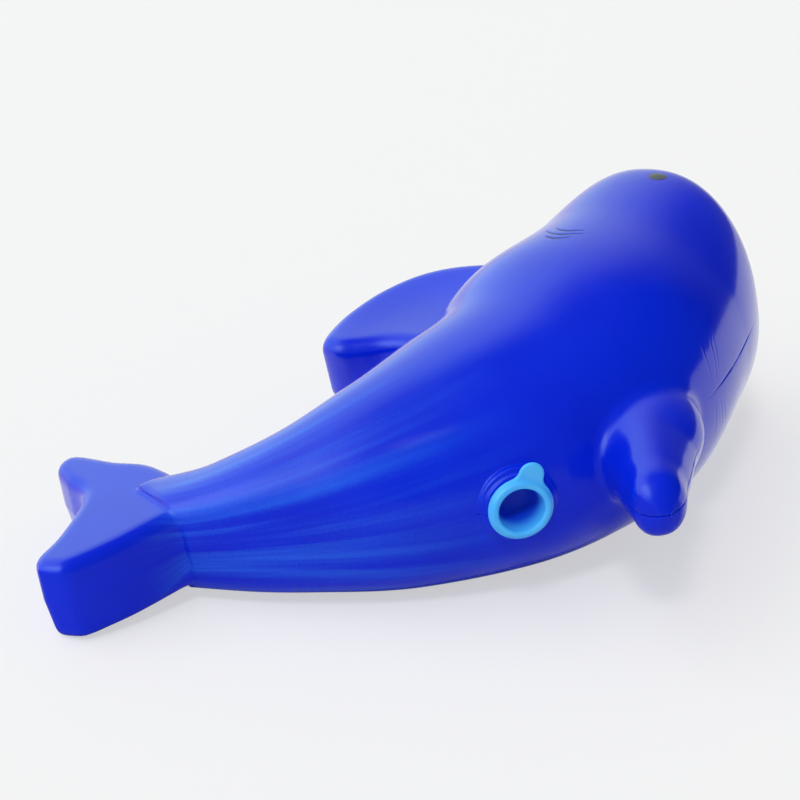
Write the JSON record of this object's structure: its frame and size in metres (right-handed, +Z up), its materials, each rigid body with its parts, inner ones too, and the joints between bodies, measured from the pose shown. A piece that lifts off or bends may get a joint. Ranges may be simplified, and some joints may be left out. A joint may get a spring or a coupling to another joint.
{
  "type": "shark water squirter",
  "caption": "Hollow blue plastic shark bath toy that squirts water from its snout when squeezed; a pull-out stopper in the belly closes its filler neck.",
  "frame": {"origin": "on the table, under the middle of the toy's bounding box, with the toy lying on its right flank and the upper lobe of its tail", "axes": "+X along the body towards the snout, +Y towards the back with the dorsal fin, +Z up towards the left flank; the seam plane leans about 11.5 degrees from level"},
  "size_m": [0.245, 0.1656, 0.0868],
  "materials": {
    "body_blue_plastic": "glossy soft vinyl with a fine mould grain",
    "stopper_pale_blue_plastic": "satin",
    "eye_black_print": "glossy print"
  },
  "bodies": {
    "body": {"left_body_half": "body_blue_plastic", "right_body_half": "body_blue_plastic", "left_eye": "eye_black_print", "right_eye": "eye_black_print"},
    "stopper": {"stopper": "stopper_pale_blue_plastic"}
  },
  "joints": [
    {"name": "stopper_pull", "type": "slide", "parent": "body", "child": "stopper", "axis": [-0.3975, -0.9163, 0.05], "range_m": [0, 0.014]}
  ]
}
